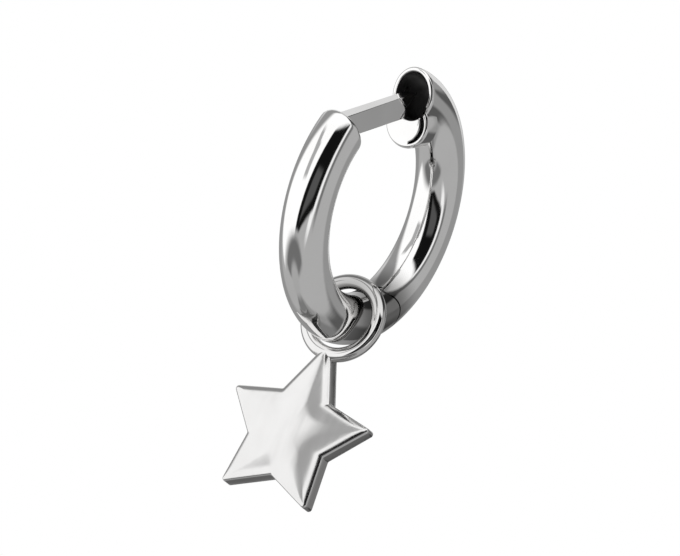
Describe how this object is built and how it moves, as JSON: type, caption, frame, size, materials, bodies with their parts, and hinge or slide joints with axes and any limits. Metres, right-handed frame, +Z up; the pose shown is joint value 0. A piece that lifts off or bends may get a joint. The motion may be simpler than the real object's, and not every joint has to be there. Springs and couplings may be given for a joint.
{
  "type": "hoop earring",
  "caption": "Hinged hoop earring of polished silver tube: the straight ear post snaps into a hollow catch, and a domed star charm hangs from a ring on the hoop.",
  "frame": {"origin": "the middle of the ear post's free length, where the earring hangs in the ear lobe", "axes": "+Z up as the earring hangs, with the star straight below; the hoop lies in the YZ plane; the star's face looks towards -Y; X is the hoop's axis and the hinge's"},
  "size_m": [0.0074, 0.0132, 0.0207],
  "materials": {
    "silver": "highly polished rhodium-plated silver",
    "silver_charm": "highly polished rhodium-plated silver"
  },
  "bodies": {
    "front": {"front_arm": "silver", "hinge_pin": "silver"},
    "back": {"back_arm": "silver"},
    "charm": {"star_charm": "silver_charm"}
  },
  "joints": [
    {"name": "hoop_hinge", "type": "hinge", "parent": "front", "child": "back", "pos_m": [0, 0.00619, -0.00776], "axis": [-1, 0, 0], "range_deg": [0, 50]},
    {"name": "charm_swing", "type": "hinge", "parent": "front", "child": "charm", "pos_m": [0, 0.00459, -0.00857], "axis": [0, -1, 0], "range_deg": [-80, 80]}
  ]
}
